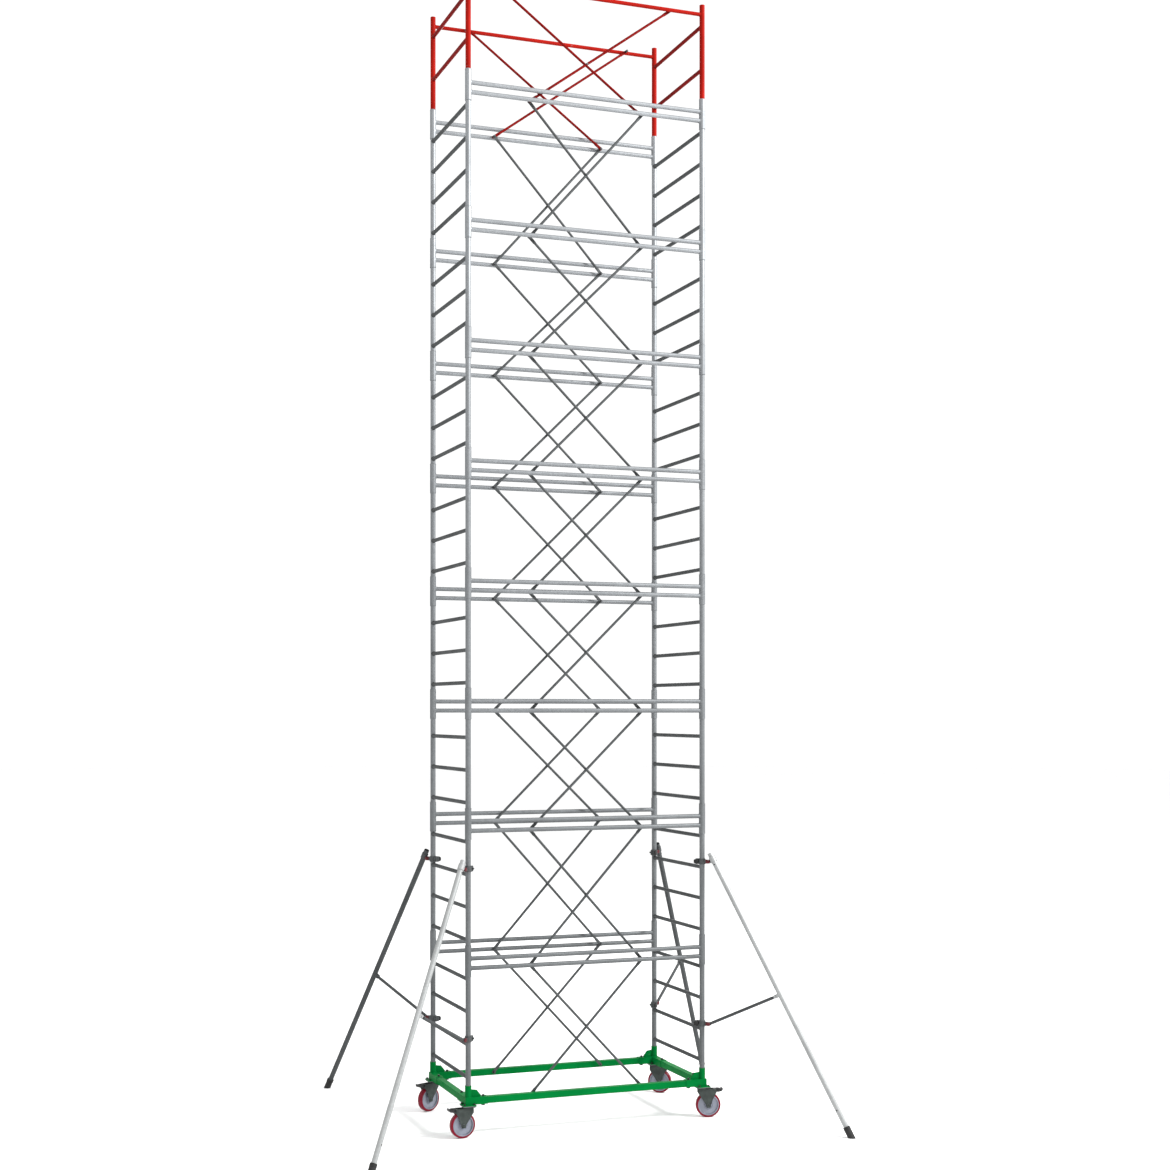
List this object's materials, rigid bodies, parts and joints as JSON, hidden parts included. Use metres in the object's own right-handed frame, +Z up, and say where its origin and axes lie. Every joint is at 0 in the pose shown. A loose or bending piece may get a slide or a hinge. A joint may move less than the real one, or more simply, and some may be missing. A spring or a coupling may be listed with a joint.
{
  "type": "mobile tower scaffold",
  "caption": "Tall rolling scaffold tower of cross-braced galvanised tube bays on a green castor base, with a red guard-rail at the top and splayed stabilisers.",
  "frame": {"origin": "on the ground under the middle of the tower", "axes": "+Z up, +X along the long sides to the right, +Y to the rear; the front side is at -Y"},
  "size_m": [3.8787, 3.2065, 8.92],
  "materials": {
    "galvanised_tube": "hot-dip galvanised",
    "dark_galvanised": "weathered galvanised",
    "zinc_fittings": "zinc plated",
    "green_paint": "gloss paint",
    "red_paint": "gloss paint",
    "black_steel": "black",
    "tread": "polyurethane",
    "wheel_disc": "cast",
    "black_rubber": "matt"
  },
  "bodies": {
    "tower": {"ladder_posts_left": "galvanised_tube", "ladder_posts_right": "galvanised_tube", "ladder_rungs_left": "dark_galvanised", "ladder_rungs_right": "dark_galvanised", "joint_sleeves": "galvanised_tube", "rails_front": "galvanised_tube", "rails_rear": "galvanised_tube", "cross_braces_front": "dark_galvanised", "cross_braces_rear": "dark_galvanised", "brace_studs": "zinc_fittings", "brace_nuts": "black_steel", "brace_centre_bolts": "zinc_fittings", "guard_posts": "red_paint", "guard_rungs": "red_paint", "guard_top_rails": "red_paint", "guard_braces": "red_paint", "base_beams_long": "green_paint", "base_beams_short": "green_paint", "base_bolts": "black_steel", "castor_top_plates": "zinc_fittings", "base_corner_fl": "green_paint", "base_corner_fr": "green_paint", "base_corner_rl": "green_paint", "base_corner_rr": "green_paint"},
    "castor_fl": {"castor_fork_fl": "zinc_fittings"},
    "wheel_fl": {"wheel_hub_fl": "wheel_disc", "wheel_tyre_fl": "tread"},
    "pedal_fl": {"brake_pedal_fl": "black_steel"},
    "clamp_fl": {"stabiliser_clamp_fl": "dark_galvanised"},
    "stabiliser_fl": {"stabiliser_tube_fl": "galvanised_tube", "stabiliser_foot_fl": "black_rubber"},
    "low_clamp_fl": {"strut_clamp_fl": "dark_galvanised"},
    "strut_fl": {"stabiliser_strut_fl": "dark_galvanised"},
    "castor_fr": {"castor_fork_fr": "zinc_fittings"},
    "wheel_fr": {"wheel_hub_fr": "wheel_disc", "wheel_tyre_fr": "tread"},
    "pedal_fr": {"brake_pedal_fr": "black_steel"},
    "clamp_fr": {"stabiliser_clamp_fr": "dark_galvanised"},
    "stabiliser_fr": {"stabiliser_tube_fr": "galvanised_tube", "stabiliser_foot_fr": "black_rubber"},
    "low_clamp_fr": {"strut_clamp_fr": "dark_galvanised"},
    "strut_fr": {"stabiliser_strut_fr": "dark_galvanised"},
    "castor_rl": {"castor_fork_rl": "zinc_fittings"},
    "wheel_rl": {"wheel_hub_rl": "wheel_disc", "wheel_tyre_rl": "tread"},
    "pedal_rl": {"brake_pedal_rl": "black_steel"},
    "clamp_rl": {"stabiliser_clamp_rl": "dark_galvanised"},
    "stabiliser_rl": {"stabiliser_tube_rl": "galvanised_tube", "stabiliser_foot_rl": "black_rubber"},
    "low_clamp_rl": {"strut_clamp_rl": "dark_galvanised"},
    "strut_rl": {"stabiliser_strut_rl": "dark_galvanised"},
    "castor_rr": {"castor_fork_rr": "zinc_fittings"},
    "wheel_rr": {"wheel_hub_rr": "wheel_disc", "wheel_tyre_rr": "tread"},
    "pedal_rr": {"brake_pedal_rr": "black_steel"},
    "clamp_rr": {"stabiliser_clamp_rr": "dark_galvanised"},
    "stabiliser_rr": {"stabiliser_tube_rr": "galvanised_tube", "stabiliser_foot_rr": "black_rubber"},
    "low_clamp_rr": {"strut_clamp_rr": "dark_galvanised"},
    "strut_rr": {"stabiliser_strut_rr": "dark_galvanised"}
  },
  "joints": [
    {"name": "swivel_fl", "type": "hinge", "parent": "tower", "child": "castor_fl", "pos_m": [-0.98, -0.49, 0.2277], "axis": [0, 0, 1], "continuous": true},
    {"name": "wheel_spin_fl", "type": "hinge", "parent": "castor_fl", "child": "wheel_fl", "pos_m": [-1.02782, -0.49418, 0.1], "axis": [0.0872, -0.9962, 0], "continuous": true},
    {"name": "brake_fl", "type": "hinge", "parent": "castor_fl", "child": "pedal_fl", "pos_m": [-1.07962, -0.49872, 0.2157], "axis": [0.0872, -0.9962, 0], "range_deg": [0, 22]},
    {"name": "stabiliser_swing_fl", "type": "hinge", "parent": "tower", "child": "clamp_fl", "pos_m": [-0.98, -0.49, 2.051], "axis": [0, 0, 1], "range_deg": [-35, 35]},
    {"name": "stabiliser_tilt_fl", "type": "hinge", "parent": "clamp_fl", "child": "stabiliser_fl", "pos_m": [-1.02777, -0.53153, 2.051], "axis": [-0.6561, 0.7547, 0], "range_deg": [0, 1.8]},
    {"name": "strut_clamp_slide_fl", "type": "slide", "parent": "clamp_fl", "child": "low_clamp_fl", "axis": [0, 0, 1], "range_m": [0, 0.104]},
    {"name": "strut_hinge_fl", "type": "hinge", "parent": "low_clamp_fl", "child": "strut_fl", "pos_m": [-1.02777, -0.53153, 0.751], "axis": [-0.6561, 0.7547, 0], "range_deg": [-8.16, 0]},
    {"name": "swivel_fr", "type": "hinge", "parent": "tower", "child": "castor_fr", "pos_m": [0.98, -0.49, 0.2277], "axis": [0, 0, 1], "continuous": true},
    {"name": "wheel_spin_fr", "type": "hinge", "parent": "castor_fr", "child": "wheel_fr", "pos_m": [1.02636, -0.50242, 0.1], "axis": [0.2588, 0.9659, 0], "continuous": true},
    {"name": "brake_fr", "type": "hinge", "parent": "castor_fr", "child": "pedal_fr", "pos_m": [1.07659, -0.51588, 0.2157], "axis": [0.2588, 0.9659, 0], "range_deg": [0, 22]},
    {"name": "stabiliser_swing_fr", "type": "hinge", "parent": "tower", "child": "clamp_fr", "pos_m": [0.98, -0.49, 2.051], "axis": [0, 0, 1], "range_deg": [-35, 35]},
    {"name": "stabiliser_tilt_fr", "type": "hinge", "parent": "clamp_fr", "child": "stabiliser_fr", "pos_m": [1.01809, -0.54055, 2.051], "axis": [-0.7986, -0.6018, 0], "range_deg": [0, 1.8]},
    {"name": "strut_clamp_slide_fr", "type": "slide", "parent": "clamp_fr", "child": "low_clamp_fr", "axis": [0, 0, 1], "range_m": [0, 0.104]},
    {"name": "strut_hinge_fr", "type": "hinge", "parent": "low_clamp_fr", "child": "strut_fr", "pos_m": [1.01809, -0.54055, 0.751], "axis": [-0.7986, -0.6018, 0], "range_deg": [-8.16, 0]},
    {"name": "swivel_rl", "type": "hinge", "parent": "tower", "child": "castor_rl", "pos_m": [-0.98, 0.49, 0.2277], "axis": [0, 0, 1], "continuous": true},
    {"name": "wheel_spin_rl", "type": "hinge", "parent": "castor_rl", "child": "wheel_rl", "pos_m": [-1.0235, 0.46971, 0.1], "axis": [0.4226, -0.9063, 0], "continuous": true},
    {"name": "brake_rl", "type": "hinge", "parent": "castor_rl", "child": "pedal_rl", "pos_m": [-1.07063, 0.44774, 0.2157], "axis": [0.4226, -0.9063, 0], "range_deg": [0, 22]},
    {"name": "stabiliser_swing_rl", "type": "hinge", "parent": "tower", "child": "clamp_rl", "pos_m": [-0.98, 0.49, 2.051], "axis": [0, 0, 1], "range_deg": [-35, 35]},
    {"name": "stabiliser_tilt_rl", "type": "hinge", "parent": "clamp_rl", "child": "stabiliser_rl", "pos_m": [-1.01069, 0.54536, 2.051], "axis": [0.8746, 0.4848, 0], "range_deg": [0, 1.8]},
    {"name": "strut_clamp_slide_rl", "type": "slide", "parent": "clamp_rl", "child": "low_clamp_rl", "axis": [0, 0, 1], "range_m": [0, 0.104]},
    {"name": "strut_hinge_rl", "type": "hinge", "parent": "low_clamp_rl", "child": "strut_rl", "pos_m": [-1.01069, 0.54536, 0.751], "axis": [0.8746, 0.4848, 0], "range_deg": [-8.16, 0]},
    {"name": "swivel_rr", "type": "hinge", "parent": "tower", "child": "castor_rr", "pos_m": [0.98, 0.49, 0.2277], "axis": [0, 0, 1], "continuous": true},
    {"name": "wheel_spin_rr", "type": "hinge", "parent": "castor_rr", "child": "wheel_rr", "pos_m": [1.01932, 0.46247, 0.1], "axis": [0.5736, 0.8192, 0], "continuous": true},
    {"name": "brake_rr", "type": "hinge", "parent": "castor_rr", "child": "pedal_rr", "pos_m": [1.06191, 0.43264, 0.2157], "axis": [0.5736, 0.8192, 0], "range_deg": [0, 22]},
    {"name": "stabiliser_swing_rr", "type": "hinge", "parent": "tower", "child": "clamp_rr", "pos_m": [0.98, 0.49, 2.051], "axis": [0, 0, 1], "range_deg": [-35, 35]},
    {"name": "stabiliser_tilt_rr", "type": "hinge", "parent": "clamp_rr", "child": "stabiliser_rr", "pos_m": [1.02317, 0.53629, 2.051], "axis": [0.7314, -0.682, 0], "range_deg": [0, 1.8]},
    {"name": "strut_clamp_slide_rr", "type": "slide", "parent": "clamp_rr", "child": "low_clamp_rr", "axis": [0, 0, 1], "range_m": [0, 0.104]},
    {"name": "strut_hinge_rr", "type": "hinge", "parent": "low_clamp_rr", "child": "strut_rr", "pos_m": [1.02317, 0.53629, 0.751], "axis": [0.7314, -0.682, 0], "range_deg": [-8.16, 0]}
  ],
  "couplings": [
    {"joint": "strut_clamp_slide_fl", "follows": "stabiliser_tilt_fl", "m_per_rad": 3.2943},
    {"joint": "strut_hinge_fl", "follows": "stabiliser_tilt_fl", "ratio": -4.4195},
    {"joint": "strut_clamp_slide_fr", "follows": "stabiliser_tilt_fr", "m_per_rad": 3.2943},
    {"joint": "strut_hinge_fr", "follows": "stabiliser_tilt_fr", "ratio": -4.4195},
    {"joint": "strut_clamp_slide_rl", "follows": "stabiliser_tilt_rl", "m_per_rad": 3.2943},
    {"joint": "strut_hinge_rl", "follows": "stabiliser_tilt_rl", "ratio": -4.4195},
    {"joint": "strut_clamp_slide_rr", "follows": "stabiliser_tilt_rr", "m_per_rad": 3.2943},
    {"joint": "strut_hinge_rr", "follows": "stabiliser_tilt_rr", "ratio": -4.4195}
  ]
}
